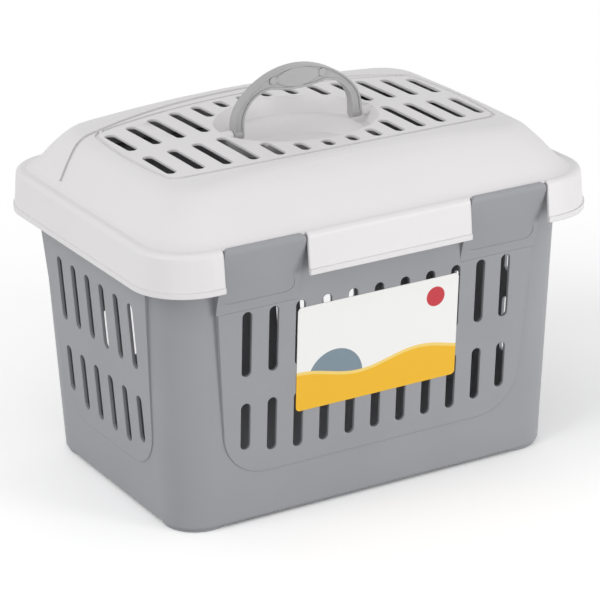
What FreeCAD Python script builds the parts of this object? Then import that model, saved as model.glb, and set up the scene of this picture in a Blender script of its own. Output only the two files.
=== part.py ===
import FreeCAD, Part
import math
import operator
import os
import Sketcher
from types import SimpleNamespace
from FreeCAD import Placement, Rotation, Vector

# Small animal carrier: a slotted tub, a domed lid hinged at the back, a folding bail handle
# and two sprung latch tabs at the front. X runs along the long side, the front faces -Y.

doc = FreeCAD.newDocument("animal_carrier")
sheet = doc.addObject("Spreadsheet::Sheet", "Sizes")

# Driving sizes in millimetres, angles in degrees.
driving_sizes = {
    # Tub: outside sizes at the floor, and how far each side leans out by the rim.
    "tub_length": 379.8,
    "tub_width": 245.6,
    "tub_height": 262.0,
    "tub_flare": 13.5,
    "tub_corner": 32.0,
    "tub_wall": 3.0,
    "tub_floor": 3.5,
    "tub_base_round": 4.0,
    "foot_height": 2.0,
    "foot_inset": 2.5,
    "rim_thickness": 3.0,
    "rim_gap": 2.0,
    # Raised panels on the four sides of the tub: a low step at their base that grows up to the rim,
    # and how far they keep from the tub's corners at the floor and at the rim.
    "panel_base": 46.0,
    "panel_round": 42.0,
    "panel_step": 0.6,
    "side_panel_proud": 5.3,
    "side_panel_foot_margin": 46.6,
    "side_panel_rim_margin": 43.3,
    "end_panel_proud": 2.6,
    "end_panel_foot_margin": 45.3,
    "end_panel_rim_margin": 32.6,
    # Slots in the sides and ends of the tub, in an upper and a lower row.
    "slot_width": 9.4,
    "side_slot_pitch": 25.7,
    "end_slot_pitch": 26.9,
    "upper_slot_top": 199.0,
    "upper_slot_base": 139.4,
    "lower_slot_top": 114.2,
    "lower_slot_base": 61.8,
    "corner_slot_lift": 9.0,
    "next_slot_lift": 3.0,
    # Lid skirt and the flat band round its top.
    "end_overhang": 16.6,
    "side_overhang": 22.7,
    "skirt_height": 36.5,
    "skirt_draft": 3.0,
    "skirt_corner": 50.0,
    "skirt_lip": 0.8,
    "skirt_lip_height": 5.0,
    "rim_round": 5.0,
    "lid_wall": 2.4,
    "seat_gap": 0.4,
    # Dome: its foot on the band, how far each slope draws in, and the crown over it.
    "dome_end_band": 8.5,
    "dome_side_band": 5.2,
    "dome_rise": 44.0,
    "dome_end_draw": 53.0,
    "dome_front_draw": 56.0,
    "dome_back_draw": 38.0,
    "dome_foot_corner": 44.0,
    "dome_top_corner": 30.0,
    "dome_foot_bow": 0.8,
    "dome_end_bow": 6.0,
    "dome_front_bow": 17.0,
    "dome_back_bow": 26.0,
    "crown_height": 44.7,
    "crown_radius_long": 1950.0,
    "crown_radius_cross": 4500.0,
    "crown_round": 28.0,
    # Shallow grooves: one round the vent panel and one arched behind it.
    "groove_depth": 1.4,
    "groove_width": 2.8,
    "panel_half_length": 168.0,
    "panel_end_bow": 9.0,
    "panel_side_bow": 18.0,
    "panel_corner": 16.0,
    "crease_y": 103.0,
    "crease_radius": 485.0,
    "crease_width": 4.6,
    "crease_lift": 5.0,
    # Vent slots in the lid.
    "vent_pitch": 23.6,
    "vent_width": 9.5,
    "vent_bar": 20.0,
    "vent_shortest": 15.0,
    "vent_reach_bow": 22.0,
    "vent_margin": 8.0,
    "dish_ledge": 4.0,
    # Oval dish round the folded handle, with a deeper finger well.
    "dish_end_room": 12.0,
    "dish_side_room": 10.4,
    "dish_draft": 6.0,
    "dish_depth": 15.5,
    "well_margin": 14.0,
    "well_draft": 17.0,
    "well_depth": 10.0,
    # Bail handle.
    "handle_half_span": 64.0,
    "handle_depth": 9.5,
    "handle_rise": 53.6,
    "handle_leg": 9.5,
    "handle_grip": 20.8,
    "handle_shoulder": 34.0,
    "handle_inner_round": 28.0,
    "handle_straight": 6.0,
    "handle_flange": 1.8,
    "handle_web_inset": 1.2,
    "handle_dip": 3.0,
    "grip_pad_inset": 0.5,
    "grip_boss_x": 24.5,
    "grip_boss_radius": 3.7,
    "trunnion_radius": 2.8,
    "trunnion_engagement": 1.6,
    "trunnion_fit": 0.05,
    "pivot_drop": 5.6,
    "pivot_boss_wall": 1.4,
    "pivot_boss_gap": 0.5,
    # Latch tabs.
    "latch_centre": 119.5,
    "latch_width": 77.0,
    "latch_thickness": 3.2,
    "latch_height": 63.8,
    "latch_root_gap": 0.06,
    "latch_root_round": 40.0,
    "latch_knee_round": 14.0,
    "latch_upright": 6.0,
    "latch_bevel": 1.6,
    "latch_corner": 6.0,
    "latch_gap": 0.3,
    "latch_side_gap": 1.2,
    "thumb_half_length": 34.0,
    "thumb_half_height": 8.0,
    "thumb_corner": 7.6,
    "thumb_depth": 0.4,
    "notch_gap": 1.5,
    # Rear hinge.
    "hinge_centre": 110.0,
    "knuckle_radius": 5.5,
    "knuckle_length": 34.0,
    "ear_thickness": 6.0,
    "ear_base": 22.0,
    "ear_gap": 0.5,
    "ear_room": 3.0,
    "hinge_pin_radius": 2.5,
    "pin_fit": 0.06,
    "pin_grip": 0.02,
    # Card on the front.
    "card_width": 160.0,
    "card_height": 97.0,
    "card_centre": 143.5,
    "card_thickness": 0.6,
    "card_corner": 4.0,
    "card_gap": 0.05,
    # Cuts run past the faces that they open by this much.
    "overrun": 2.0,
}
side_slot_count = 11
end_slot_count = 6
vent_count = 14
# Dome profile from its foot (0) to the level of the vent panel (1) and a little past it.
rise_shares = (0.0, 0.06, 0.25, 0.52, 0.75, 0.92, 1.0, 1.08, 1.18)
draw_shares = (0.0, 0.08, 0.20, 0.36, 0.53, 0.75, 0.92, 1.12, 1.4)

for row, (alias, number) in enumerate(driving_sizes.items(), start=1):
    sheet.set(f"A{row}", alias)
    sheet.set(f"B{row}", str(number))
    sheet.setAlias(f"B{row}", alias)
doc.recompute()


class Size:
    # A number from the sheet, together with the expression that gives it.
    def __init__(self, value, text):
        self.value = value
        self.text = text

    def __float__(self):
        return self.value

    def __add__(self, other):
        return combine(operator.add, "+", self, other)

    def __radd__(self, other):
        return combine(operator.add, "+", other, self)

    def __sub__(self, other):
        return combine(operator.sub, "-", self, other)

    def __rsub__(self, other):
        return combine(operator.sub, "-", other, self)

    def __mul__(self, other):
        return combine(operator.mul, "*", self, other)

    def __rmul__(self, other):
        return combine(operator.mul, "*", other, self)

    def __truediv__(self, other):
        return combine(operator.truediv, "/", self, other)

    def __neg__(self):
        return combine(operator.mul, "*", -1, self)


def wording(number):
    return number.text if isinstance(number, Size) else repr(float(number))


def combine(operation, sign, left, right):
    value = operation(float(left), float(right))
    return Size(value, f"({wording(left)} {sign} {wording(right)})")


def bind(thing, field, size):
    thing.setExpression(field, size.text)


s = SimpleNamespace(**{
    alias: Size(float(sheet.get(alias)), f"Sizes.{alias}") for alias in driving_sizes
})

# Places that follow from the driving sizes.
tub_half_x = s.tub_length / 2
tub_half_y = s.tub_width / 2
tub_rim_x = tub_half_x + s.tub_flare
tub_rim_y = tub_half_y + s.tub_flare
rim_corner = s.tub_corner + s.tub_flare
tub_rise = s.tub_height - s.foot_height
lean_share = s.tub_flare / tub_rise
lean_angle = Size(math.degrees(math.atan(float(lean_share))), f"atan({lean_share.text})")
side_proud_share = s.side_panel_proud / (s.tub_height - s.panel_base)
side_lean_share = lean_share + side_proud_share
side_lean_angle = Size(math.degrees(math.atan(float(side_lean_share))), f"atan({side_lean_share.text})")
lid_rim_z = s.tub_height + s.seat_gap + s.lid_wall
skirt_base_z = lid_rim_z - s.skirt_height
lid_half_x = tub_rim_x + s.end_overhang
lid_half_y = tub_rim_y + s.side_overhang
skirt_top_x = lid_half_x - s.skirt_lip - s.skirt_draft
skirt_top_y = lid_half_y - s.skirt_lip - s.skirt_draft
dome_foot_x = skirt_top_x - s.dome_end_band
dome_foot_y = skirt_top_y - s.dome_side_band
crown_z = lid_rim_z + s.crown_height
rim_half_x = skirt_top_x - s.lid_wall - s.rim_gap
rim_half_y = skirt_top_y - s.lid_wall - s.rim_gap
latch_face_y = dome_foot_y + s.notch_gap + s.latch_gap + s.latch_thickness
latch_root_z = lid_rim_z - s.latch_height
hinge_y = lid_half_y - s.knuckle_radius
hinge_z = skirt_base_z + s.knuckle_radius
pivot_z = crown_z - s.pivot_drop
dish_half_length = s.handle_half_span + s.dish_end_room
dish_half_width = s.handle_rise + s.dish_side_room
well_half_length = dish_half_length - s.well_margin
well_half_width = dish_half_width - s.well_margin
vent_reach = dish_half_width + s.dish_ledge + s.vent_shortest
panel_half_width = vent_reach + s.vent_margin
up = Vector(0, 0, 1)
along = Vector(1, 0, 0)
across = Vector(0, 1, 0)


def wall_y(z):
    # Half width of the tub's outside at a height.
    return tub_half_y + s.tub_flare * ((z - s.foot_height) / tub_rise)


def side_y(z):
    # Half width over the raised side panels at a height.
    return wall_y(z) + s.panel_step + side_proud_share * (z - s.panel_base)


def origin_plane(body, role):
    return [item for item in body.Origin.OriginFeatures if item.Role == role][0]


def new_sketch(body, name, role, lift=None):
    # A sketch on one of the body's own origin planes, moved along its normal.
    sketch = body.newObject("Sketcher::SketchObject", name)
    sketch.AttachmentSupport = [(origin_plane(body, role), "")]
    sketch.MapMode = "FlatFace"
    if lift is not None:
        sketch.AttachmentOffset = Placement(Vector(0, 0, float(lift)), Rotation())
        bind(sketch, "AttachmentOffset.Base.z", lift)
    return sketch


def add_datum(sketch, kind, places, size, name):
    index = sketch.addConstraint(Sketcher.Constraint(kind, *places, float(size)))
    sketch.renameConstraint(index, name)
    bind(sketch, f"Constraints.{name}", size)


def rounded_box(sketch, half_x, half_y, corner, tag="box"):
    # A rectangle about the origin with four equal corner arcs.
    x, y, r = float(half_x), float(half_y), float(corner)
    first = sketch.GeometryCount
    corners = ((x - r, y - r, 0), (r - x, y - r, 90), (r - x, r - y, 180), (x - r, r - y, 270))
    arcs = []
    for centre_x, centre_y, start in corners:
        circle = Part.Circle(Vector(centre_x, centre_y, 0), up, r)
        arcs.append(Part.ArcOfCircle(circle, math.radians(start), math.radians(start + 90)))
    lines = []
    for this, following in zip(arcs, arcs[1:] + arcs[:1]):
        lines.append(Part.LineSegment(this.EndPoint, following.StartPoint))
    sketch.addGeometry(arcs + lines, False)
    arc = [first + n for n in range(4)]
    line = [first + 4 + n for n in range(4)]
    rules = []
    for n in range(4):
        rules.append(Sketcher.Constraint("Tangent", arc[n], 2, line[n], 1))
        rules.append(Sketcher.Constraint("Tangent", line[n], 2, arc[(n + 1) % 4], 1))
    for n in (0, 2):
        rules.append(Sketcher.Constraint("Horizontal", line[n]))
        rules.append(Sketcher.Constraint("Vertical", line[n + 1]))
    for n in (1, 2, 3):
        rules.append(Sketcher.Constraint("Equal", arc[0], arc[n]))
    sketch.addConstraint(rules)
    add_datum(sketch, "Radius", (arc[0],), corner, f"{tag}_corner")
    add_datum(sketch, "DistanceY", (-1, 1, line[0], 1), half_y, f"{tag}_back")
    add_datum(sketch, "DistanceX", (line[1], 1, -1, 1), half_x, f"{tag}_left")
    add_datum(sketch, "DistanceY", (line[2], 1, -1, 1), half_y, f"{tag}_front")
    add_datum(sketch, "DistanceX", (-1, 1, line[3], 1), half_x, f"{tag}_right")


def upright_slot(sketch, centre, low, high, width, tag="slot"):
    # A slot with round ends, upright in the sketch.
    r = width / 2
    top_arc = Part.ArcOfCircle(
        Part.Circle(Vector(float(centre), float(high - r), 0), up, float(r)), 0, math.pi)
    low_arc = Part.ArcOfCircle(
        Part.Circle(Vector(float(centre), float(low + r), 0), up, float(r)), math.pi, 2 * math.pi)
    left = Part.LineSegment(top_arc.EndPoint, low_arc.StartPoint)
    right = Part.LineSegment(low_arc.EndPoint, top_arc.StartPoint)
    a = sketch.GeometryCount
    sketch.addGeometry([top_arc, left, low_arc, right], False)
    sketch.addConstraint([
        Sketcher.Constraint("Tangent", a, 2, a + 1, 1),
        Sketcher.Constraint("Tangent", a + 1, 2, a + 2, 1),
        Sketcher.Constraint("Tangent", a + 2, 2, a + 3, 1),
        Sketcher.Constraint("Tangent", a + 3, 2, a, 1),
        Sketcher.Constraint("Vertical", a + 1),
        Sketcher.Constraint("Equal", a, a + 2),
    ])
    add_datum(sketch, "Radius", (a,), r, f"{tag}_radius")
    add_datum(sketch, "DistanceX", (-1, 1, a, 3), centre, f"{tag}_centre")
    add_datum(sketch, "DistanceY", (-1, 1, a, 3), high - r, f"{tag}_high")
    add_datum(sketch, "DistanceY", (-1, 1, a + 2, 3), low + r, f"{tag}_low")


def fixed_outline(sketch, curves):
    # A closed outline worked out from the sizes, each curve held where it is.
    first = sketch.GeometryCount
    sketch.addGeometry(curves, False)
    sketch.addConstraint([
        Sketcher.Constraint("Block", first + n) for n in range(len(curves))
    ])


def edges_at_height(shape, z):
    # Names of the edges that lie wholly at one height.
    names = []
    for number, edge in enumerate(shape.Edges, start=1):
        box = edge.BoundBox
        if abs(box.ZMin - z) < 1e-4 and abs(box.ZMax - z) < 1e-4:
            names.append(f"Edge{number}")
    return names


def through_pocket(body, name, sketch):
    pocket = body.newObject("PartDesign::Pocket", name)
    pocket.Profile = sketch
    pocket.Type = "ThroughAll"
    pocket.Midplane = True
    return pocket


def slot_row(body, name, role, axis_role, pitch, count, low, high, skip=1):
    # A row of equal slots about the middle, cut through both opposite walls of the tub.
    span = pitch * (count - 1)
    sketch = new_sketch(body, f"{name}_outline", role)
    upright_slot(sketch, -(span / 2), low, high, s.slot_width)
    pocket = through_pocket(body, f"{name}_first", sketch)
    row = body.newObject("PartDesign::LinearPattern", f"{name}_row")
    row.Originals = [pocket]
    row.Direction = (origin_plane(body, axis_role), [""])
    row.Length = float(span)
    bind(row, "Length", span)
    row.Occurrences = 1 + (count - 1) // skip
    body.Tip = row


def make_tub():
    body = doc.addObject("PartDesign::Body", "base_tub")
    body.Label = "base_tub"
    floor = new_sketch(body, "floor_outline", "XY_Plane", s.foot_height)
    rounded_box(floor, tub_half_x, tub_half_y, s.tub_corner)
    outside = body.newObject("PartDesign::Pad", "outside")
    outside.Profile = floor
    outside.Length = float(tub_rise)
    bind(outside, "Length", tub_rise)
    outside.TaperAngle = float(lean_angle)
    bind(outside, "TaperAngle", lean_angle)
    doc.recompute()

    base_round = body.newObject("PartDesign::Fillet", "base_round")
    base_round.Base = (outside, edges_at_height(outside.Shape, float(s.foot_height)))
    base_round.Radius = float(s.tub_base_round)
    bind(base_round, "Radius", s.tub_base_round)
    doc.recompute()

    side_halves = (tub_half_x - s.side_panel_foot_margin, tub_rim_x - s.side_panel_rim_margin)
    end_halves = (tub_half_y - s.end_panel_foot_margin, tub_rim_y - s.end_panel_rim_margin)
    panels = (
        ("front_panel", "XZ_Plane", side_halves, tub_half_y, s.side_panel_proud, 1),
        ("back_panel", "XZ_Plane", side_halves, tub_half_y, s.side_panel_proud, -1),
        ("left_panel", "YZ_Plane", end_halves, tub_half_x, s.end_panel_proud, -1),
        ("right_panel", "YZ_Plane", end_halves, tub_half_x, s.end_panel_proud, 1),
    )
    for panel in panels:
        raise_panel(body, *panel)

    cavity_floor_z = s.foot_height + s.tub_floor
    cavity_step = s.tub_flare * (s.tub_floor / tub_rise)
    cavity_over = s.tub_flare * (s.overrun / tub_rise)
    low = new_sketch(body, "cavity_floor", "XY_Plane", cavity_floor_z)
    rounded_box(low, tub_half_x + cavity_step - s.tub_wall, tub_half_y + cavity_step - s.tub_wall,
                s.tub_corner + cavity_step - s.tub_wall)
    high = new_sketch(body, "cavity_mouth", "XY_Plane", s.tub_height + s.overrun)
    rounded_box(high, tub_rim_x + cavity_over - s.tub_wall, tub_rim_y + cavity_over - s.tub_wall,
                rim_corner + cavity_over - s.tub_wall)
    cavity = body.newObject("PartDesign::SubtractiveLoft", "cavity")
    cavity.Profile = low
    cavity.Sections = [high]
    cavity.Ruled = True
    doc.recompute()
    for panel in panels:
        relieve_panel(body, *panel)

    rim = new_sketch(body, "rim_outline", "XY_Plane", s.tub_height - s.rim_thickness)
    rounded_box(rim, rim_half_x, rim_half_y, s.skirt_corner - s.lid_wall - s.rim_gap, "outer")
    rounded_box(rim, tub_rim_x - s.tub_wall / 2, tub_rim_y - s.tub_wall / 2,
                rim_corner - s.tub_wall / 2, "inner")
    flange = body.newObject("PartDesign::Pad", "rim_flange")
    flange.Profile = rim
    flange.Length = float(s.rim_thickness)
    bind(flange, "Length", s.rim_thickness)
    doc.recompute()

    feet = new_sketch(body, "feet_outline", "XY_Plane")
    foot_x = tub_half_x - s.tub_corner
    foot_y = tub_half_y - s.tub_corner
    foot_radius = s.tub_corner - s.foot_inset
    for n, (side_x, side_y) in enumerate(((1, 1), (-1, 1), (-1, -1), (1, -1))):
        centre = Vector(side_x * float(foot_x), side_y * float(foot_y), 0)
        circle = feet.addGeometry(Part.Circle(centre, up, float(foot_radius)), False)
        add_datum(feet, "Radius", (circle,), foot_radius, f"foot_radius_{n}")
        add_datum(feet, "DistanceX", (-1, 1, circle, 3), foot_x * side_x, f"foot_x_{n}")
        add_datum(feet, "DistanceY", (-1, 1, circle, 3), foot_y * side_y, f"foot_y_{n}")
    pads = body.newObject("PartDesign::Pad", "feet")
    pads.Profile = feet
    pads.Length = float(cavity_floor_z - s.tub_floor / 2)
    bind(pads, "Length", cavity_floor_z - s.tub_floor / 2)
    doc.recompute()

    hinge_ears(body)
    low_base = s.lower_slot_base
    for name, role, axis, pitch, count, lifts in (
        ("side", "XZ_Plane", "X_Axis", s.side_slot_pitch, side_slot_count,
         (s.corner_slot_lift, s.next_slot_lift)),
        ("end", "YZ_Plane", "Y_Axis", s.end_slot_pitch, end_slot_count, (s.corner_slot_lift,)),
    ):
        slot_row(body, f"{name}_upper", role, axis, pitch, count, s.upper_slot_base, s.upper_slot_top)
        for place, lift in enumerate(lifts):
            inside = count - 2 * place
            slot_row(body, f"{name}_lower_{place}", role, axis, pitch, inside, low_base + lift,
                     s.lower_slot_top, inside - 1)
        slot_row(body, f"{name}_lower", role, axis, pitch, count - 2 * len(lifts), low_base,
                 s.lower_slot_top)
    doc.recompute()
    return body


def panel_sketch(body, name, role, halves, reach, proud, turn, low_z, high_z, inset=0):
    # A panel's outline on its own leaning plane, moved into the wall and drawn in by an inset.
    foot_half, rim_half = halves
    proud_share = proud / (s.tub_height - s.panel_base)
    lean = math.atan(float(lean_share + proud_share))
    slant = math.cos(lean)
    base_reach = reach + s.panel_step - lean_share * s.foot_height - proud_share * s.panel_base
    plane_reach = turn * (float(base_reach) - float(inset) / slant)
    sketch = new_sketch(body, f"{name}_outline", role)
    plane_turn = Rotation(along, turn * math.degrees(lean))
    sketch.AttachmentOffset = Placement(Vector(0, 0, plane_reach), plane_turn)
    spread = float((rim_half - foot_half) / tub_rise) * slant
    half = float(foot_half - inset) - spread * float(s.foot_height) / slant
    low = float(low_z) / slant
    high = float(high_z) / slant
    r = float(s.panel_round - inset)
    # The lower corner arc touches the base line and the spreading side.
    tilt = math.atan(spread)
    centre_x = half + spread * (low + r) - r / math.cos(tilt)
    side_touch = Vector(centre_x + r * math.cos(tilt), low + r - r * math.sin(tilt), 0)
    arc_middle = math.radians(-45) - tilt / 2
    middle = Vector(centre_x + r * math.cos(arc_middle), low + r + r * math.sin(arc_middle), 0)
    base_touch = Vector(centre_x, low, 0)
    top = Vector(half + spread * high, high, 0)

    def other(point):
        return Vector(-point.x, point.y, 0)

    fixed_outline(sketch, [
        Part.LineSegment(other(base_touch), base_touch),
        Part.Arc(base_touch, middle, side_touch),
        Part.LineSegment(side_touch, top),
        Part.LineSegment(top, other(top)),
        Part.LineSegment(other(top), other(side_touch)),
        Part.Arc(other(side_touch), other(middle), other(base_touch)),
    ])
    return sketch


def raise_panel(body, name, role, halves, reach, proud, turn):
    # A panel that stands out from one leaning wall and ends inside the rim flange.
    before = body.Tip.Shape.Volume
    raised = body.newObject("PartDesign::Pad", name)
    raised.Profile = panel_sketch(body, name, role, halves, reach, proud, turn, s.panel_base,
                                  s.tub_height - s.rim_thickness / 2)
    depth = s.panel_step + proud + s.tub_wall
    raised.Length = float(depth)
    bind(raised, "Length", depth)
    raised.Reversed = turn > 0
    doc.recompute()
    if not raised.Shape.Volume > before:
        raise RuntimeError(f"{name} adds nothing")


def relieve_panel(body, name, role, halves, reach, proud, turn):
    # The inside of the wall follows the raised panel, one wall behind it.
    before = body.Tip.Shape.Volume
    relief = body.newObject("PartDesign::Pocket", f"{name}_relief")
    relief.Profile = panel_sketch(body, f"{name}_relief", role, halves, reach, proud, turn,
                                  s.panel_base + s.tub_wall, s.tub_height + s.overrun, s.tub_wall)
    depth = s.panel_step + proud + s.overrun
    relief.Length = float(depth)
    bind(relief, "Length", depth)
    relief.Reversed = turn < 0
    doc.recompute()
    if not 0 < relief.Shape.Volume < before:
        raise RuntimeError(f"{name} relief cuts nothing")


def hinge_ears(body):
    # Two ears each side of each lid knuckle, from the back wall to the hinge line.
    y, z, r = float(hinge_y), float(hinge_z), float(s.knuckle_radius)
    inside_y = float(side_y(hinge_z) - s.tub_wall / 2)
    low_inside_y = float(side_y(hinge_z - s.ear_base) - s.tub_wall / 2)
    step = s.knuckle_length / 2 + s.ear_gap + s.ear_thickness / 2
    for side in (-1, 1):
        for end in (-1, 1):
            place = s.hinge_centre * side + step * end
            tag = f"ear_{'left' if side < 0 else 'right'}_{'outer' if side == end else 'inner'}"
            sketch = new_sketch(body, f"{tag}_outline", "YZ_Plane", place)
            top_in = Vector(inside_y, z + r, 0)
            top_out = Vector(y, z + r, 0)
            low_out = Vector(y, z - r, 0)
            low_in = Vector(low_inside_y, z - float(s.ear_base), 0)
            fixed_outline(sketch, [
                Part.LineSegment(top_in, top_out),
                Part.Arc(top_out, Vector(y + r, z, 0), low_out),
                Part.LineSegment(low_out, low_in),
                Part.LineSegment(low_in, top_in),
            ])
            ear = body.newObject("PartDesign::Pad", tag)
            ear.Profile = sketch
            ear.Midplane = True
            ear.Length = float(s.ear_thickness)
            bind(ear, "Length", s.ear_thickness)
            doc.recompute()
    bore = new_sketch(body, "pin_bore_outline", "YZ_Plane")
    circle = bore.addGeometry(Part.Circle(Vector(y, z, 0), up, float(s.hinge_pin_radius)), False)
    add_datum(bore, "Radius", (circle,), s.hinge_pin_radius + s.pin_grip, "bore_radius")
    add_datum(bore, "DistanceX", (-1, 1, circle, 3), hinge_y, "bore_y")
    add_datum(bore, "DistanceY", (-1, 1, circle, 3), hinge_z, "bore_z")
    through_pocket(body, "pin_bore", bore)
    doc.recompute()


def pillow(half_x, front, back, end_bow, front_bow, back_bow, corner, z):
    # A rectangle with four bowed sides and four corner arcs, all tangent, at height z.
    mid_y = (back - front) / 2
    half_y = (back + front) / 2
    front_r, back_r = ((half_x ** 2 + bow ** 2) / (2 * bow) for bow in (front_bow, back_bow))
    end_r = (half_y ** 2 + end_bow ** 2) / (2 * end_bow)

    def corner_arc(turn_x, turn_y):
        side_r, side_y = (back_r, back) if turn_y > 0 else (front_r, front)
        side_centre = Vector(0, turn_y * (side_y - side_r), 0)
        end_centre = Vector(turn_x * (half_x - end_r), mid_y, 0)
        near, far = side_r - corner, end_r - corner
        gap = end_centre - side_centre
        reach = gap.Length
        toward = gap / reach
        offset = (near ** 2 - far ** 2 + reach ** 2) / (2 * reach)
        rise = math.sqrt(near ** 2 - offset ** 2)
        normal = Vector(-toward.y, toward.x, 0)
        options = [side_centre + toward * offset + normal * (rise * sign) for sign in (-1, 1)]
        centre = max(options, key=lambda point: point.x * turn_x + point.y * turn_y)
        on_side = centre + (centre - side_centre).normalize() * corner
        on_end = centre + (centre - end_centre).normalize() * corner
        middle = centre + ((on_side + on_end) / 2 - centre).normalize() * corner
        return on_side, middle, on_end

    right_front = corner_arc(1, -1)
    right_back = corner_arc(1, 1)
    left_back = corner_arc(-1, 1)
    left_front = corner_arc(-1, -1)
    stops = [
        (left_front[0], Vector(0, -front, 0), right_front[0]),
        right_front,
        (right_front[2], Vector(half_x, mid_y, 0), right_back[2]),
        right_back[::-1],
        (right_back[0], Vector(0, back, 0), left_back[0]),
        left_back,
        (left_back[2], Vector(-half_x, mid_y, 0), left_front[2]),
        left_front[::-1],
    ]
    lift = Vector(0, 0, z)
    return Part.Wire([Part.Arc(*(point + lift for point in stop)).toShape() for stop in stops])


def rounded_wire(half_x, half_y, corner, z):
    # A rectangle with four corner arcs at height z.
    arcs = []
    for start, turn_x, turn_y in ((0, 1, 1), (90, -1, 1), (180, -1, -1), (270, 1, -1)):
        centre = Vector(turn_x * (half_x - corner), turn_y * (half_y - corner), z)
        arcs.append(Part.makeCircle(corner, centre, up, start, start + 90))
    edges = []
    for this, following in zip(arcs, arcs[1:] + arcs[:1]):
        edges.append(this)
        edges.append(Part.makeLine(this.lastVertex().Point, following.firstVertex().Point))
    return Part.Wire(edges)


def block(half_x, half_y, corner, low, high, lean=0.0):
    # A rounded box between two heights, its sides leaning in by the top.
    return Part.makeLoft([
        rounded_wire(half_x, half_y, corner, low),
        rounded_wire(half_x - lean, half_y - lean, corner - lean, high),
    ], True, True)


def crown_cap(drop):
    # Everything under the crown: an arc across, swung about a line far below.
    top = float(crown_z) - drop
    reach = float(lid_half_y)
    sag = reach ** 2 / (2 * float(s.crown_radius_cross))
    low = top - 2 * float(s.crown_height)
    arc = Part.Arc(Vector(0, -reach, top - sag), Vector(0, 0, top), Vector(0, reach, top - sag))
    rails = Part.makePolygon([Vector(0, reach, top - sag), Vector(0, reach, low),
                              Vector(0, -reach, low), Vector(0, -reach, top - sag)])
    face = Part.Face(Part.Wire([arc.toShape()] + rails.Edges))
    axis_point = Vector(0, 0, top - float(s.crown_radius_long))
    half_turn = math.degrees(float(lid_half_x) / float(s.crown_radius_long))
    face.rotate(axis_point, across, -half_turn)
    return face.revolve(axis_point, across, 2 * half_turn)


def lid_form(inset, base_z):
    # The lid as a full block, drawn in by inset on every side and dropped by it on top.
    rim_z = float(lid_rim_z) - inset
    skirt = block(float(lid_half_x - s.skirt_lip) - inset, float(lid_half_y - s.skirt_lip) - inset,
                  float(s.skirt_corner) - inset, base_z, rim_z, float(s.skirt_draft))
    brow = [edge for edge in skirt.Edges if edge.BoundBox.ZMin > rim_z - 0.01 * float(s.skirt_height)]
    skirt = skirt.makeFillet(float(s.rim_round) - inset, brow)
    sections = []
    for rise, draw in zip(rise_shares, draw_shares):
        sections.append(pillow(
            float(dome_foot_x - s.dome_end_draw * draw) - inset,
            float(dome_foot_y - s.dome_front_draw * draw) - inset,
            float(dome_foot_y - s.dome_back_draw * draw) - inset,
            float(s.dome_foot_bow + s.dome_end_bow * draw),
            float(s.dome_foot_bow + s.dome_front_bow * draw),
            float(s.dome_foot_bow + s.dome_back_bow * draw),
            float(s.dome_foot_corner + (s.dome_top_corner - s.dome_foot_corner) * draw) - inset,
            rim_z + float(s.dome_rise) * rise))
    dome = Part.makeLoft(sections, True, False).common(crown_cap(inset))
    shoulder = [edge for edge in dome.Edges if edge.BoundBox.ZMin > rim_z + float(s.dome_rise) / 2]
    dome = dome.makeFillet(float(s.crown_round) - inset, shoulder)
    return skirt.fuse(dome).removeSplitter()


def add_shape(name, shape):
    feature = doc.addObject("Part::Feature", name)
    feature.Shape = shape
    return feature


def cut(name, base, tool):
    result = doc.addObject("Part::Cut", name)
    result.Base = base
    result.Tool = tool
    return result


def fuse(name, shapes):
    result = doc.addObject("Part::MultiFuse", name)
    result.Shapes = shapes
    result.Refine = True
    return result


def set_place(thing, x, y, z, rotation=None):
    thing.Placement = Placement(Vector(float(x), float(y), float(z)), rotation or Rotation())
    for axis, place in zip("xyz", (x, y, z)):
        if isinstance(place, Size):
            bind(thing, f"Placement.Base.{axis}", place)


def rod(name, radius, length, x, y, z):
    # A cylinder along X, centred on x.
    cylinder = doc.addObject("Part::Cylinder", name)
    bind(cylinder, "Radius", radius)
    bind(cylinder, "Height", length)
    set_place(cylinder, x - length / 2, y, z, Rotation(across, 90))
    return cylinder


def brick(name, x_from, x_to, y_from, y_to, z_from, z_to):
    box = doc.addObject("Part::Box", name)
    for field, low, high in (("Length", x_from, x_to), ("Width", y_from, y_to), ("Height", z_from, z_to)):
        bind(box, field, high - low)
    set_place(box, x_from, y_from, z_from)
    return box


def oval_taper(name, half_x, half_y, draft, high, low):
    # A solid between two ovals, narrower by the draft at the lower one. Either way may be the longer.
    turned = float(half_x) < float(half_y)
    long_half, short_half = (half_y, half_x) if turned else (half_x, half_y)
    turn = Rotation(up, 90 if turned else 0)
    ovals = []
    for tag, z, inward in (("mouth", high, 0), ("base", low, draft)):
        oval = doc.addObject("Part::Ellipse", f"{name}_{tag}")
        bind(oval, "MajorRadius", long_half - inward)
        bind(oval, "MinorRadius", short_half - inward)
        set_place(oval, 0, 0, z, turn)
        ovals.append(oval)
    taper = doc.addObject("Part::Loft", name)
    taper.Sections = ovals
    taper.Solid = True
    taper.Ruled = True
    return taper


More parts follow.
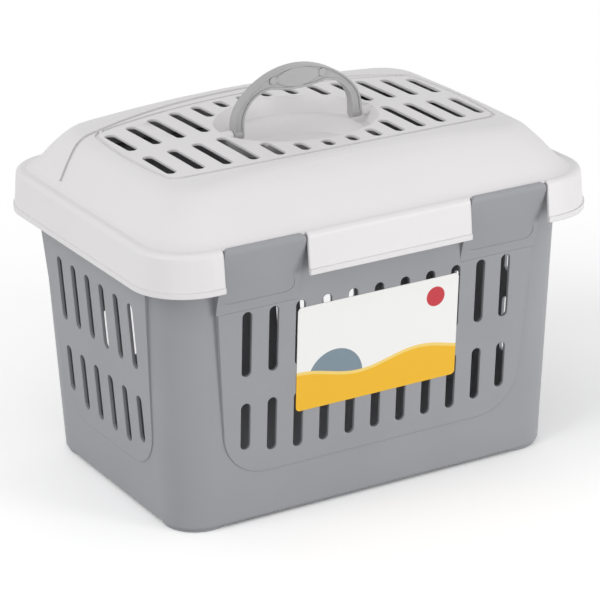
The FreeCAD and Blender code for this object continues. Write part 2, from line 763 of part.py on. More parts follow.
def vent_slots():
    # Two rows of slots; those beside the dish stop short of its rim.
    end_x = s.vent_pitch * ((vent_count - 1) / 2)
    columns = []
    for n in range(vent_count):
        sketch = doc.addObject("Sketcher::SketchObject", f"vent_outline_{n}")
        set_place(sketch, 0, 0, crown_z + s.overrun)
        centre = s.vent_pitch * (n - (vent_count - 1) / 2)
        far = vent_reach - s.vent_reach_bow * ((centre / end_x) * (centre / end_x))
        near = s.vent_bar / 2
        inside = 1 - (float(centre) / float(dish_half_length)) ** 2
        if inside > 0:
            near = dish_half_width * math.sqrt(inside) + s.dish_ledge
        upright_slot(sketch, centre, near, far, s.vent_width, "back")
        upright_slot(sketch, centre, -far, -near, s.vent_width, "front")
        column = doc.addObject("Part::Extrusion", f"vent_cut_{n}")
        column.Base = sketch
        column.DirMode = "Custom"
        column.Dir = -up
        column.LengthFwd = float(s.crown_height / 2)
        bind(column, "LengthFwd", s.crown_height / 2)
        column.Solid = True
        columns.append(column)
    return columns


def make_lid():
    wall = float(s.lid_wall)
    base_z = float(skirt_base_z)
    outside = lid_form(0.0, base_z)
    lip = block(float(lid_half_x), float(lid_half_y), float(s.skirt_corner + s.skirt_lip), base_z,
                base_z + float(s.skirt_lip_height))
    core = lid_form(wall, base_z - float(s.overrun))
    shell = outside.fuse(lip).removeSplitter().cut(core)

    # Grooves take the outer skin away down to a form drawn in by their depth.
    floor_form = lid_form(float(s.groove_depth), base_z)
    width = float(s.groove_width)
    panel_top = float(crown_z + s.overrun)
    rings = []
    for inset in (0.0, width):
        outline = pillow(float(s.panel_half_length) - inset, float(panel_half_width) - inset,
                         float(panel_half_width) - inset, float(s.panel_end_bow),
                         float(s.panel_side_bow), float(s.panel_side_bow), float(s.panel_corner) - inset,
                         float(lid_rim_z))
        rings.append(Part.Face(outline).extrude(up * (panel_top - float(lid_rim_z))))
    ring = rings[0].cut(rings[1]).cut(floor_form)
    crease_base = Vector(0, float(s.crease_y - s.crease_radius), float(lid_rim_z + s.crease_lift))
    half_crease = float(s.crease_width) / 2
    crease_height = float(s.crown_height)
    outer = Part.makeCylinder(float(s.crease_radius) + half_crease, crease_height, crease_base)
    inner = Part.makeCylinder(float(s.crease_radius) - half_crease, crease_height, crease_base)
    crease = outer.cut(inner).cut(floor_form)
    form = add_shape("lid_form", shell.cut(ring).cut(crease))

    # The dish hangs from the vent panel as a wall, with the finger well below it.
    dish_floor_z = crown_z - s.dish_depth
    well_floor_z = dish_floor_z - s.well_depth
    added = [
        form,
        oval_taper("dish_wall", dish_half_length + s.lid_wall, dish_half_width + s.lid_wall,
                   s.dish_draft, crown_z - s.lid_wall, dish_floor_z - s.lid_wall),
        oval_taper("well_wall", well_half_length + s.lid_wall, well_half_width + s.lid_wall,
                   s.well_draft, dish_floor_z, well_floor_z - s.lid_wall),
    ]
    # Bosses on the dish's end walls reach in to the handle's feet and carry its trunnions.
    socket_radius = s.trunnion_radius + s.trunnion_fit
    boss_start = s.handle_half_span + s.pivot_boss_gap
    boss_length = dish_half_length - boss_start
    boss_centre = boss_start + boss_length / 2
    boss_radius = socket_radius + s.pivot_boss_wall
    bosses = []
    for side, name in ((-1, "left"), (1, "right")):
        bosses.append(rod(f"{name}_pivot_boss", boss_radius, boss_length, boss_centre * side, 0, pivot_z))
    added.extend(bosses)
    dish_room = oval_taper("dish_cut", dish_half_length, dish_half_width, s.dish_draft,
                           crown_z + s.overrun, dish_floor_z)
    removed = [
        cut("dish_hollow", dish_room, fuse("pivot_bosses", bosses)),
        oval_taper("well_cut", well_half_length, well_half_width, s.well_draft,
                   dish_floor_z, well_floor_z),
    ]
    removed.extend(vent_slots())

    # Sockets for the handle's trunnions, right through the bosses and the end walls.
    socket_end = dish_half_length + s.trunnion_engagement + s.trunnion_fit
    removed.append(rod("trunnion_sockets", socket_radius, socket_end * 2, 0, 0, pivot_z))

    half_notch = s.latch_width / 2 + s.latch_side_gap
    half_ear_notch = s.ear_thickness / 2 + s.ear_gap
    step = s.knuckle_length / 2 + s.ear_gap + s.ear_thickness / 2
    for side, name in ((-1, "left"), (1, "right")):
        # A notch in the skirt and band for the latch tab.
        middle = s.latch_centre * side
        removed.append(brick(f"{name}_notch", middle - half_notch, middle + half_notch,
                             -(lid_half_y + s.overrun), -(dome_foot_y + s.notch_gap),
                             skirt_base_z - s.overrun, lid_rim_z + s.overrun))
        # A knuckle under the back of the skirt, with room beside it for the tub's ears.
        middle = s.hinge_centre * side
        added.append(rod(f"{name}_knuckle", s.knuckle_radius, s.knuckle_length, middle, hinge_y, hinge_z))
        removed.append(rod(f"{name}_knuckle_bore", s.hinge_pin_radius + s.pin_fit,
                           s.knuckle_length + s.overrun, middle, hinge_y, hinge_z))
        for end, tag in ((-1, "first"), (1, "second")):
            place = middle + step * end
            removed.append(brick(f"{name}_{tag}_ear_notch", place - half_ear_notch, place + half_ear_notch,
                                 hinge_y - s.knuckle_radius - s.ear_room, lid_half_y + s.overrun,
                                 skirt_base_z - s.overrun, hinge_z + s.knuckle_radius + s.ear_room))
    lid = cut("lid_shell", fuse("lid_solid", added), fuse("lid_cuts", removed))
    lid.Label = "lid_shell"
    doc.recompute()
    return lid


def make_hinge_pins():
    length = s.knuckle_length + (s.ear_gap + s.ear_thickness) * 2
    pins = []
    for side, name in ((-1, "left"), (1, "right")):
        pin = rod(f"hinge_pin_{name}", s.hinge_pin_radius, length, s.hinge_centre * side, hinge_y, hinge_z)
        pin.Label = f"hinge_pin_{name}"
        pins.append(pin)
    return pins


def arch_outline(inset):
    # The bail seen from the front, drawn in by inset: outer arch of three arcs, inner arch of three.
    half = float(s.handle_half_span) - inset
    shoulder = float(s.handle_shoulder) - inset
    top = float(pivot_z + s.handle_rise) - inset
    spring = float(pivot_z + s.handle_straight)
    shoulder_x = half - shoulder
    rise = top - spring
    crown_r = (shoulder_x ** 2 + rise ** 2 - shoulder ** 2) / (2 * (rise - shoulder))
    crown_y = top - crown_r
    slope = math.atan2(spring - crown_y, shoulder_x)
    meet = Vector(crown_r * math.cos(slope), crown_y + crown_r * math.sin(slope), 0)
    half_slope = slope / 2
    outer_mid = Vector(shoulder_x + shoulder * math.cos(half_slope),
                       spring + shoulder * math.sin(half_slope), 0)
    leg_in = float(s.handle_half_span - s.handle_leg) + inset
    inner_r = float(s.handle_inner_round) + inset
    inner_x = leg_in - inner_r
    grip_low = float(pivot_z + s.handle_rise - s.handle_grip) + inset
    inner_top = grip_low + float(s.handle_dip)
    inner_z = inner_top - inner_r
    diagonal = math.radians(45)
    inner_mid = Vector(inner_x + inner_r * math.cos(diagonal), inner_z + inner_r * math.sin(diagonal), 0)
    foot = float(pivot_z)

    def other(point):
        return Vector(-point.x, point.y, 0)

    foot_out = Vector(half, foot, 0)
    foot_in = Vector(leg_in, foot, 0)
    spring_out = Vector(half, spring, 0)
    turn_in = Vector(leg_in, inner_z, 0)
    turn_top = Vector(inner_x, inner_top, 0)
    return [
        Part.LineSegment(foot_out, spring_out),
        Part.Arc(spring_out, outer_mid, meet),
        Part.Arc(meet, Vector(0, top, 0), other(meet)),
        Part.Arc(other(meet), other(outer_mid), other(spring_out)),
        Part.LineSegment(other(spring_out), other(foot_out)),
        Part.LineSegment(other(foot_out), other(foot_in)),
        Part.LineSegment(other(foot_in), other(turn_in)),
        Part.Arc(other(turn_in), other(inner_mid), other(turn_top)),
        Part.Arc(other(turn_top), Vector(0, grip_low, 0), turn_top),
        Part.Arc(turn_top, inner_mid, turn_in),
        Part.LineSegment(turn_in, foot_in),
        Part.LineSegment(foot_in, foot_out),
    ]


def make_handle():
    body = doc.addObject("PartDesign::Body", "carry_handle")
    body.Label = "carry_handle"
    arch = new_sketch(body, "arch_outline", "XZ_Plane")
    fixed_outline(arch, arch_outline(0.0))
    bail = body.newObject("PartDesign::Pad", "bail")
    bail.Profile = arch
    bail.Midplane = True
    bail.Length = float(s.handle_depth)
    bind(bail, "Length", s.handle_depth)
    doc.recompute()

    # Channels in the front and back faces leave a web between two flanges.
    channel = arch_outline(float(s.handle_flange))
    for side, name in ((1, "front"), (-1, "back")):
        lift = s.handle_depth * (side / 2)
        sketch = new_sketch(body, f"{name}_channel_outline", "XZ_Plane", lift)
        fixed_outline(sketch, channel)
        groove = body.newObject("PartDesign::Pocket", f"{name}_channel")
        groove.Profile = sketch
        groove.Length = float(s.handle_web_inset)
        bind(groove, "Length", s.handle_web_inset)
        groove.Reversed = side < 0
        doc.recompute()

    # A lens-shaped pad fills the grip, with a round boss at each end.
    pad_top = pivot_z + s.handle_rise - s.handle_flange
    pad_low = pivot_z + s.handle_rise - s.handle_grip + s.handle_flange
    pad_mid = (pad_top + pad_low) / 2
    lens = new_sketch(body, "grip_pad_outline", "XZ_Plane")
    right = Vector(float(s.grip_boss_x), float(pad_mid), 0)
    left = Vector(-right.x, right.y, 0)
    fixed_outline(lens, [
        Part.Arc(right, Vector(0, float(pad_top), 0), left),
        Part.Arc(left, Vector(0, float(pad_low), 0), right),
    ])
    pad = body.newObject("PartDesign::Pad", "grip_pad")
    pad.Profile = lens
    pad.Midplane = True
    pad.Length = float(s.handle_depth - s.grip_pad_inset * 2)
    bind(pad, "Length", s.handle_depth - s.grip_pad_inset * 2)
    bosses = new_sketch(body, "boss_outline", "XZ_Plane")
    for n, side in enumerate((-1, 1)):
        centre = Vector(side * right.x, right.y, 0)
        circle = bosses.addGeometry(Part.Circle(centre, up, float(s.grip_boss_radius)), False)
        add_datum(bosses, "Radius", (circle,), s.grip_boss_radius, f"boss_radius_{n}")
        add_datum(bosses, "DistanceX", (-1, 1, circle, 3), s.grip_boss_x * side, f"boss_x_{n}")
        add_datum(bosses, "DistanceY", (-1, 1, circle, 3), pad_mid, f"boss_z_{n}")
    boss = body.newObject("PartDesign::Pad", "grip_bosses")
    boss.Profile = bosses
    boss.Midplane = True
    boss.Length = float(s.handle_depth)
    bind(boss, "Length", s.handle_depth)
    doc.recompute()

    # Round feet about the pivot line, and the trunnions that stand out of them.
    leg_mid = s.handle_half_span - s.handle_leg / 2
    tip = dish_half_length + s.trunnion_engagement
    for side, name in ((-1, "left"), (1, "right")):
        for tag, radius, inner, outer in (
            ("foot", s.handle_depth / 2, s.handle_half_span - s.handle_leg, s.handle_half_span),
            ("trunnion", s.trunnion_radius, leg_mid, tip),
        ):
            sketch = new_sketch(body, f"{name}_{tag}_outline", "YZ_Plane", inner * side)
            circle = sketch.addGeometry(Part.Circle(Vector(0, float(pivot_z), 0), up, float(radius)), False)
            add_datum(sketch, "Radius", (circle,), radius, "radius")
            add_datum(sketch, "DistanceY", (-1, 1, circle, 3), pivot_z, "height")
            stub = body.newObject("PartDesign::Pad", f"{name}_{tag}")
            stub.Profile = sketch
            stub.Length = float(outer - inner)
            bind(stub, "Length", outer - inner)
            stub.Reversed = side < 0
            doc.recompute()
    return body


def latch_outline():
    # Side view of a latch tab: it grows out of the front wall and leans out into the lid's notch.
    lean = math.radians(float(side_lean_angle))
    root_r = float(s.latch_root_round)
    knee_r = float(s.latch_knee_round)
    thick = float(s.latch_thickness)
    out_y = -float(latch_face_y)
    top_z = float(lid_rim_z)
    root = Vector(-float(side_y(latch_root_z) + s.latch_root_gap), float(latch_root_z), 0)
    knee = Vector(out_y, top_z - float(s.latch_upright), 0)
    # A concave arc leaves the wall along its lean; the straight plate touches it and runs to the knee.
    centre = root + Vector(-math.cos(lean), -math.sin(lean), 0) * root_r
    reach = knee - centre
    flare = math.atan2(reach.y, reach.x) - math.acos(root_r / reach.Length)
    bend_end = centre + Vector(math.cos(flare), math.sin(flare), 0) * root_r
    half_bend = (lean + flare) / 2
    bend_mid = centre + Vector(math.cos(half_bend), math.sin(half_bend), 0) * root_r
    # A convex arc takes the knee's place and ends upright.
    knee_run = knee_r * math.tan(flare / 2)
    knee_start = knee + Vector(math.sin(flare), -math.cos(flare), 0) * knee_run
    knee_end = knee + Vector(0, knee_run, 0)
    knee_centre = knee_end + Vector(knee_r, 0, 0)
    knee_mid = knee_centre + Vector(-math.cos(flare / 2), -math.sin(flare / 2), 0) * knee_r
    bevel = float(s.latch_bevel)
    front_top = Vector(out_y, top_z - bevel, 0)
    bevel_top = Vector(out_y + bevel, top_z, 0)
    inner_top = Vector(out_y + thick, top_z, 0)
    inner_knee = Vector(out_y + thick, knee.y + thick * math.tan(flare / 2), 0)
    # The inner face of the plate meets the wall again above the root.
    wall_slope = float(side_lean_share)
    slope = 1 / math.tan(flare)
    inner_z = inner_knee.y - (root.x - inner_knee.x) * slope
    meet_z = (inner_z - slope * wall_slope * root.y) / (1 - slope * wall_slope)
    meet = Vector(root.x - wall_slope * (meet_z - root.y), meet_z, 0)
    outline = [
        Part.Arc(root, bend_mid, bend_end),
        Part.LineSegment(bend_end, knee_start),
        Part.Arc(knee_start, knee_mid, knee_end),
        Part.LineSegment(knee_end, front_top),
        Part.LineSegment(front_top, bevel_top),
        Part.LineSegment(bevel_top, inner_top),
        Part.LineSegment(inner_top, inner_knee),
        Part.LineSegment(inner_knee, meet),
        Part.LineSegment(meet, root),
    ]
    return outline, bend_end, flare


def make_latch(side, name):
    body = doc.addObject("PartDesign::Body", name)
    body.Label = name
    sketch = new_sketch(body, f"{name}_outline", "YZ_Plane")
    outline, plate_foot, flare = latch_outline()
    fixed_outline(sketch, outline)
    tab = body.newObject("PartDesign::Pad", f"{name}_tab")
    tab.Profile = sketch
    tab.Midplane = True
    tab.Length = float(s.latch_width)
    bind(tab, "Length", s.latch_width)

    # Both upper corners of the tab are rounded.
    trims = new_sketch(body, f"{name}_corners", "XZ_Plane")
    half = float(s.latch_width / 2)
    top = float(lid_rim_z)
    corner = float(s.latch_corner)
    over = float(s.overrun)
    bulge = corner * math.sqrt(1 / 2)
    for end in (-1, 1):
        middle_x = half - corner
        stops = [Vector(end * x, z, 0) for x, z in (
            (middle_x, top), (middle_x, top + over), (half + over, top + over),
            (half + over, top - corner), (half, top - corner))]
        on_arc = Vector(end * (middle_x + bulge), top - corner + bulge, 0)
        sides = [Part.LineSegment(this, following) for this, following in zip(stops, stops[1:])]
        fixed_outline(trims, sides + [Part.Arc(stops[-1], on_arc, stops[0])])
    through_pocket(body, f"{name}_round", trims)

    # A shallow rounded hollow for the thumb, on the plate just above its foot.
    thumb = new_sketch(body, f"{name}_thumb_outline", "XZ_Plane")
    middle = plate_foot + Vector(-math.sin(flare), math.cos(flare), 0) * float(s.thumb_half_height)
    thumb.AttachmentOffset = Placement(
        Vector(0, middle.y, -middle.x), Rotation(along, math.degrees(flare)))
    rounded_box(thumb, s.thumb_half_length, s.thumb_half_height, s.thumb_corner)
    hollow = body.newObject("PartDesign::Pocket", f"{name}_thumb_hollow")
    hollow.Profile = thumb
    hollow.Length = float(s.thumb_depth)
    bind(hollow, "Length", s.thumb_depth)
    set_place(body, s.latch_centre * side, 0, 0)
    doc.recompute()
    return body


def make_card():
    body = doc.addObject("PartDesign::Body", "label_card")
    body.Label = "label_card"
    sketch = new_sketch(body, "card_outline", "XZ_Plane")
    rounded_box(sketch, s.card_width / 2, s.card_height / 2, s.card_corner)
    card = body.newObject("PartDesign::Pad", "card")
    card.Profile = sketch
    card.Length = float(s.card_thickness)
    bind(card, "Length", s.card_thickness)
    seat = float(side_y(s.card_centre) + s.card_gap)
    lean = Rotation(along, float(side_lean_angle))
    body.Placement = Placement(Vector(0, -seat, float(s.card_centre)), lean)
    doc.recompute()
    return body


tub = make_tub()
lid = make_lid()
handle = make_handle()
nodes = [tub, lid, handle]
nodes.append(make_latch(-1, "latch_left"))
nodes.append(make_latch(1, "latch_right"))
nodes.extend(make_hinge_pins())
nodes.append(make_card())
doc.recompute()

failed = [item.Name for item in doc.Objects if "Invalid" in item.State or "Error" in item.State]
if failed:
    raise RuntimeError(f"failed objects: {failed}")
os.makedirs("parts", exist_ok=True)
for node in nodes:
    if node.Shape.isNull() or not node.Shape.isValid():
        raise RuntimeError(f"{node.Label} has no valid shape")
    print(node.Label, len(node.Shape.Solids), round(node.Shape.Volume), node.Shape.BoundBox)
for node in nodes:
    node.Shape.exportStep(f"parts/{node.Label}.step")
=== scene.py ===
import math
import bmesh
import bpy
from mathutils import Matrix, Vector

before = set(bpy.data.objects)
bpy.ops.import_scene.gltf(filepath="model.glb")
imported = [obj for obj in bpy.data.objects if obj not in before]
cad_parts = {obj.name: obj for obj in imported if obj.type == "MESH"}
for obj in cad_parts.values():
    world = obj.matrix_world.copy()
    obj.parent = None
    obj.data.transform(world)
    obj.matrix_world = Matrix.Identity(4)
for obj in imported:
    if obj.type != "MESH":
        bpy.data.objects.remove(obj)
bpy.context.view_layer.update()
scene = bpy.context.scene
scene.view_settings.view_transform = "Standard"
print("frame loaded:", ", ".join(sorted(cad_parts)))

mmPerM = 1000  # names that end in Mm hold millimetres, and Blender works in metres


def linear(hexText):
    # sRGB hex to the linear colour that shaders take
    channels = [int(hexText[n:n + 2], 16) / 255 for n in (1, 3, 5)]
    return [c / 12.92 if c <= 0.04045 else ((c + 0.055) / 1.055) ** 2.4 for c in channels] + [1.0]


def addNode(tree, kind, settings, **links):
    # one node: settings are its properties or fixed sockets, links feed sockets (s0 is socket 0);
    # a colour mix takes its share in socket 0 and its colours in 6 and 7, and gives output 2
    node = tree.nodes.new(kind)
    for name, value in settings.items():
        if isinstance(name, int) or name in node.inputs:
            node.inputs[name].default_value = value
        else:
            setattr(node, name, value)
    for name, source in links.items():
        socket = int(name[1:]) if name[1:].isdigit() else name
        tree.links.new(source, node.inputs[socket])
    return node


def newMaterial(name):
    material = bpy.data.materials.new(name)
    material.use_nodes = True
    material.node_tree.nodes.clear()
    return material, material.node_tree


def dress(nodeName, material):
    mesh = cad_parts[nodeName].data
    mesh.materials.clear()
    mesh.materials.append(material)


# Moulded polypropylene: waxy, satin, faintly clouded where the melt flowed, with soft edges that catch light.
def mouldedPlastic(name, look):
    material, tree = newMaterial(name)
    place = addNode(tree, "ShaderNodeTexCoord", {}).outputs["Object"]
    flow = addNode(tree, "ShaderNodeTexNoise",
                   {"Scale": mmPerM / look["flowMm"], "Detail": look["flowDetail"]}, Vector=place)
    tone = addNode(tree, "ShaderNodeMix",
                   {"data_type": "RGBA", 6: linear(look["deep"]), 7: linear(look["pale"])},
                   s0=flow.outputs["Fac"])
    edge = addNode(tree, "ShaderNodeBevel",
                   {"samples": look["edgeSamples"], "Radius": look["edgeMm"] / mmPerM})
    face = addNode(tree, "ShaderNodeNewGeometry", {})
    turn = addNode(tree, "ShaderNodeVectorMath", {"operation": "DOT_PRODUCT"},
                   s0=edge.outputs["Normal"], s1=face.outputs["Normal"])
    # painted highlight: the colour is mixed toward a lighter tone where the rounded edge normal turns away
    # from the flat one
    paintedHighlightShare = addNode(tree, "ShaderNodeMapRange",
                  {"From Min": look["paintedHighlightFrom"], "From Max": look["paintedHighlightFull"], "To Max": look["paintedHighlightMost"]},
                  Value=turn.outputs["Value"])
    paintedHighlight = addNode(tree, "ShaderNodeMix", {"data_type": "RGBA", 7: linear(look["paintedHighlight"])},
                     s0=paintedHighlightShare.outputs["Result"], s6=tone.outputs[2])
    grain = addNode(tree, "ShaderNodeTexNoise",
                    {"Scale": mmPerM / look["grainMm"], "Detail": look["grainDetail"]}, Vector=place)
    gloss = addNode(tree, "ShaderNodeMapRange",
                    {"From Min": look["grainLow"], "From Max": look["grainHigh"],
                     "To Min": look["rough"] - look["roughSpread"],
                     "To Max": look["rough"] + look["roughSpread"]},
                    Value=grain.outputs["Fac"])
    skin = addNode(tree, "ShaderNodeBump",
                   {"Strength": look["grainStrength"], "Distance": look["grainDeepMm"] / mmPerM},
                   Height=grain.outputs["Fac"], Normal=edge.outputs["Normal"])
    shader = addNode(tree, "ShaderNodeBsdfPrincipled", {"IOR": look["ior"]}, **{
        "Base Color": paintedHighlight.outputs[2],
        "Roughness": gloss.outputs["Result"],
        "Normal": skin.outputs["Normal"],
    })
    addNode(tree, "ShaderNodeOutputMaterial", {}, Surface=shader.outputs["BSDF"])
    return material


# All mouldings share these. An edge gets a painted highlight, lighter by the cosine between its rounded
# normal and its flat one.
mouldLook = {
    "ior": 1.49, "flowDetail": 2.0, "grainDetail": 3.0, "grainLow": 0.3, "grainHigh": 0.7,
    "roughSpread": 0.05, "edgeSamples": 4, "paintedHighlightFrom": 0.99, "paintedHighlightFull": 0.75,
}
# Grain of a spark-eroded mould is about 0.2 mm; it is drawn coarser so that it shows in the render.
tubLook = {
    **mouldLook, "deep": "#96979b", "pale": "#a0a1a5", "paintedHighlight": "#b4b5b8", "paintedHighlightMost": 0.5, "edgeMm": 1.2,
    "flowMm": 90, "grainMm": 1.6, "grainDeepMm": 0.05, "grainStrength": 0.5, "rough": 0.46,
}
lidLook = {
    **mouldLook, "deep": "#e3e1e2", "pale": "#eae8e9", "paintedHighlight": "#f3f2f2", "paintedHighlightMost": 0.5, "edgeMm": 1.2,
    "flowMm": 110, "grainMm": 1.8, "grainDeepMm": 0.04, "grainStrength": 0.4, "rough": 0.42,
}
handleLook = {
    **mouldLook, "deep": "#a9a9aa", "pale": "#b4b4b5", "paintedHighlight": "#c4c4c5", "paintedHighlightMost": 0.6, "edgeMm": 1.0,
    "flowMm": 40, "grainMm": 1.2, "grainDeepMm": 0.03, "grainStrength": 0.35, "rough": 0.36,
}
# The tab's root runs out to a thin edge, so its rounding is kept small.
latchLook = {**tubLook, "edgeMm": 0.08}
pinLook = {**handleLook, "grainMm": 0.8, "rough": 0.3}

tubPlastic = mouldedPlastic("grey polypropylene, spark-textured", tubLook)
lidPlastic = mouldedPlastic("off-white polypropylene, satin moulded", lidLook)
handlePlastic = mouldedPlastic("grey polypropylene, smooth moulded", handleLook)
latchPlastic = mouldedPlastic("grey polypropylene, textured tab", latchLook)
pinPlastic = mouldedPlastic("grey polypropylene, drawn rod", pinLook)
plastics = {
    "base_tub": tubPlastic,
    "lid_shell": lidPlastic,
    "carry_handle": handlePlastic,
    "latch_left": latchPlastic,
    "latch_right": latchPlastic,
    "hinge_pin_left": pinPlastic,
    "hinge_pin_right": pinPlastic,
}
for nodeName, plastic in plastics.items():
    dress(nodeName, plastic)
print("plastics on", len(plastics), "nodes")

# Coated board, offset printed: bright white, slightly glossy, with a flat yellow wave, a slate hill
# and a red sun. Heights of the print are measured up from the card's low edge.
cardLook = {
    "white": "#f7f7f5", "yellow": "#f5bd1f", "paleYellow": "#f9d878",
    "lowMm": 95.1, "waveMm": 28.5, "swellMm": 5.0, "swellLongMm": 120.0, "swellStart": -0.6, "echoMm": 3.0,
    "softMm": 0.35, "fibreMm": 0.9, "fibreDetail": 4.0, "toothDeepMm": 0.03, "toothStrength": 0.25,
    "ior": 1.5, "roughLow": 0.26, "roughHigh": 0.4,
    "discs": (
        {"ink": "#7d8f9b", "xMm": -42.0, "upMm": 24.0, "radiusMm": 27.0},
        {"ink": "#c9323d", "xMm": 57.0, "upMm": 79.0, "radiusMm": 9.0},
    ),
}


def printedCard(look):
    material, tree = newMaterial("coated board, offset printed")
    place = addNode(tree, "ShaderNodeTexCoord", {}).outputs["Object"]
    axes = addNode(tree, "ShaderNodeSeparateXYZ", {}, Vector=place)
    turnsPerM = mmPerM / look["swellLongMm"]
    phase = addNode(tree, "ShaderNodeMath",
                    {"operation": "MULTIPLY_ADD", 1: 2 * math.pi * turnsPerM, 2: look["swellStart"]},
                    s0=axes.outputs["X"])
    swell = addNode(tree, "ShaderNodeMath", {"operation": "SINE"}, s0=phase.outputs[0])
    crest = addNode(tree, "ShaderNodeMath",
                    {"operation": "MULTIPLY_ADD", 1: look["swellMm"] / mmPerM,
                     2: (look["lowMm"] + look["waveMm"]) / mmPerM},
                    s0=swell.outputs[0])
    over = addNode(tree, "ShaderNodeMath", {"operation": "SUBTRACT"},
                   s0=axes.outputs["Z"], s1=crest.outputs[0])
    soft = look["softMm"] / mmPerM
    below = addNode(tree, "ShaderNodeMapRange", {"From Min": soft, "From Max": 0.0}, Value=over.outputs[0])
    echo = look["echoMm"] / mmPerM
    nearBelow = addNode(tree, "ShaderNodeMapRange", {"From Min": echo + soft, "From Max": echo},
                        Value=over.outputs[0])
    inks = {}
    for disc in look["discs"]:
        centre = (disc["xMm"] / mmPerM, 0, (look["lowMm"] + disc["upMm"]) / mmPerM)
        away = addNode(tree, "ShaderNodeVectorMath", {"operation": "SUBTRACT", 1: centre}, s0=place)
        # depth doesn't count in a flat print
        flat = addNode(tree, "ShaderNodeVectorMath", {"operation": "MULTIPLY", 1: (1, 0, 1)},
                       s0=away.outputs["Vector"])
        reach = addNode(tree, "ShaderNodeVectorMath", {"operation": "LENGTH"}, s0=flat.outputs["Vector"])
        radius = disc["radiusMm"] / mmPerM
        inside = addNode(tree, "ShaderNodeMapRange", {"From Min": radius + soft, "From Max": radius},
                         Value=reach.outputs["Value"])
        mixed = addNode(tree, "ShaderNodeMix",
                        {"data_type": "RGBA", 6: linear(look["white"]), 7: linear(disc["ink"])},
                        s0=inside.outputs["Result"], **inks)
        inks = {"s6": mixed.outputs[2]}
    withEcho = addNode(tree, "ShaderNodeMix", {"data_type": "RGBA", 7: linear(look["paleYellow"])},
                       s0=nearBelow.outputs["Result"], **inks)
    withWave = addNode(tree, "ShaderNodeMix", {"data_type": "RGBA", 7: linear(look["yellow"])},
                       s0=below.outputs["Result"], s6=withEcho.outputs[2])
    fibre = addNode(tree, "ShaderNodeTexNoise",
                    {"Scale": mmPerM / look["fibreMm"], "Detail": look["fibreDetail"]}, Vector=place)
    gloss = addNode(tree, "ShaderNodeMapRange", {"To Min": look["roughLow"], "To Max": look["roughHigh"]},
                    Value=fibre.outputs["Fac"])
    tooth = addNode(tree, "ShaderNodeBump",
                    {"Strength": look["toothStrength"], "Distance": look["toothDeepMm"] / mmPerM},
                    Height=fibre.outputs["Fac"])
    shader = addNode(tree, "ShaderNodeBsdfPrincipled", {"IOR": look["ior"]}, **{
        "Base Color": withWave.outputs[2],
        "Roughness": gloss.outputs["Result"],
        "Normal": tooth.outputs["Normal"],
    })
    addNode(tree, "ShaderNodeOutputMaterial", {}, Surface=shader.outputs["BSDF"])
    return material


dress("label_card", printedCard(cardLook))
print("card printed")


def seenRays(tree):
    # 1 for what the eye sees, straight, in a gloss or through something clear, and 0 for bounced light
    rays = addNode(tree, "ShaderNodeLightPath", {})
    seen = addNode(tree, "ShaderNodeMath", {"operation": "MAXIMUM"},
                   s0=rays.outputs["Is Camera Ray"], s1=rays.outputs["Is Glossy Ray"])
    seenAll = addNode(tree, "ShaderNodeMath", {"operation": "MAXIMUM"},
                      s0=seen.outputs[0], s1=rays.outputs["Is Transmission Ray"])
    return seenAll.outputs[0]


# Plain white floor that keeps the soft shadow near the part and burns out to white further off.
floorLook = {
    "halfM": 12.0, "cells": 8, "paper": "#ffffff", "bounce": "#dedede", "gain": 1.3,
    "shadowM": 0.42, "whiteM": 0.8,
}


def layFloor(look):
    build = bmesh.new()
    bmesh.ops.create_grid(build, x_segments=look["cells"], y_segments=look["cells"], size=look["halfM"])
    mesh = bpy.data.meshes.new("floor")
    build.to_mesh(mesh)
    build.free()
    floor = bpy.data.objects.new("floor", mesh)
    scene.collection.objects.link(floor)
    material, tree = newMaterial("white paper sweep")
    seen = seenRays(tree)
    bright = [channel * look["gain"] for channel in linear(look["paper"])]
    tone = addNode(tree, "ShaderNodeMix", {"data_type": "RGBA", 6: linear(look["bounce"]), 7: bright},
                   s0=seen)
    paper = addNode(tree, "ShaderNodeBsdfDiffuse", {}, Color=tone.outputs[2])
    place = addNode(tree, "ShaderNodeTexCoord", {}).outputs["Object"]
    reach = addNode(tree, "ShaderNodeVectorMath", {"operation": "LENGTH"}, s0=place)
    far = addNode(tree, "ShaderNodeMapRange",
                  {"interpolation_type": "SMOOTHSTEP",
                   "From Min": look["shadowM"], "From Max": look["whiteM"]},
                  Value=reach.outputs["Value"])
    burnt = addNode(tree, "ShaderNodeMath", {"operation": "MULTIPLY"}, s0=far.outputs["Result"], s1=seen)
    white = addNode(tree, "ShaderNodeEmission", {"Color": linear(look["paper"])})
    both = addNode(tree, "ShaderNodeMixShader", {}, s0=burnt.outputs[0], s1=paper.outputs["BSDF"],
                   s2=white.outputs["Emission"])
    addNode(tree, "ShaderNodeOutputMaterial", {}, Surface=both.outputs["Shader"])
    mesh.materials.append(material)


layFloor(floorLook)

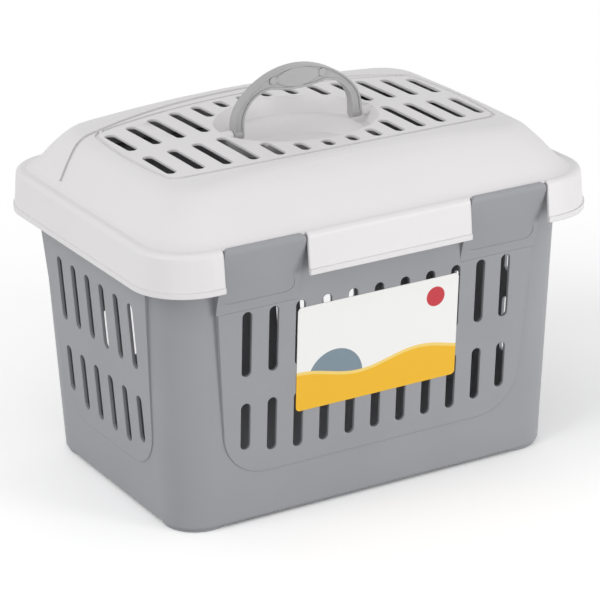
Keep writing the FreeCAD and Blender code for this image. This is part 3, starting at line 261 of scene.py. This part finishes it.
# Soft studio light: a pale dome, one soft box to the front right and one to the left.
studio = {
    "sky": "#ffffff", "dome": 0.62,
    "lamps": {
        "softBoxRight": {"place": (1.25, -2.15, 0.42), "aim": (0.0, 0.0, 0.15), "sizeM": 0.8, "watts": 21.0},
        "softBoxLeft": {"place": (-1.9, -0.35, 1.5), "aim": (0.0, 0.0, 0.15), "sizeM": 1.5, "watts": 16.0},
    },
}


def lightStudio(look):
    world = bpy.data.worlds.new("studio")
    world.use_nodes = True
    tree = world.node_tree
    tree.nodes.clear()
    level = addNode(tree, "ShaderNodeMapRange", {"To Min": look["dome"]}, Value=seenRays(tree))
    dome = addNode(tree, "ShaderNodeBackground", {"Color": linear(look["sky"])},
                   Strength=level.outputs["Result"])
    addNode(tree, "ShaderNodeOutputWorld", {}, Surface=dome.outputs["Background"])
    scene.world = world
    for name, box in look["lamps"].items():
        lamp = bpy.data.lights.new(name, "AREA")
        lamp.shape = "SQUARE"
        lamp.size = box["sizeM"]
        lamp.energy = box["watts"]
        holder = bpy.data.objects.new(name, lamp)
        holder.location = box["place"]
        aim = Vector(box["aim"]) - Vector(box["place"])
        holder.rotation_euler = aim.to_track_quat("-Z", "Y").to_euler()
        scene.collection.objects.link(holder)


lightStudio(studio)
print("floor and lights set")

# Camera fitted to the photograph: angles in degrees, lengths in millimetres.
shot = {
    "azimuth": -29.852, "elevation": 21.162, "roll": -0.978, "distanceMm": 2595.6,
    "targetMm": (1.279, 1.198, 137.476), "lensMm": 174.25, "sensorMm": 36.0,
}


def setCamera(view):
    az, el, roll = (math.radians(view[key]) for key in ("azimuth", "elevation", "roll"))
    back = Vector((math.sin(az) * math.cos(el), -math.cos(az) * math.cos(el), math.sin(el)))
    right = (-back).cross(Vector((0, 0, 1))).normalized()
    upward = right.cross(-back)
    turnedRight = right * math.cos(roll) + upward * math.sin(roll)
    turnedUp = upward * math.cos(roll) - right * math.sin(roll)
    lens = bpy.data.cameras.new("camera")
    lens.lens = view["lensMm"]
    lens.sensor_width = view["sensorMm"]
    camera = bpy.data.objects.new("camera", lens)
    place = (Vector(view["targetMm"]) + back * view["distanceMm"]) / mmPerM
    turned = Matrix((turnedRight, turnedUp, back)).transposed().to_4x4()
    camera.matrix_world = Matrix.Translation(place) @ turned
    scene.collection.objects.link(camera)
    scene.camera = camera


setCamera(shot)
print("camera set")
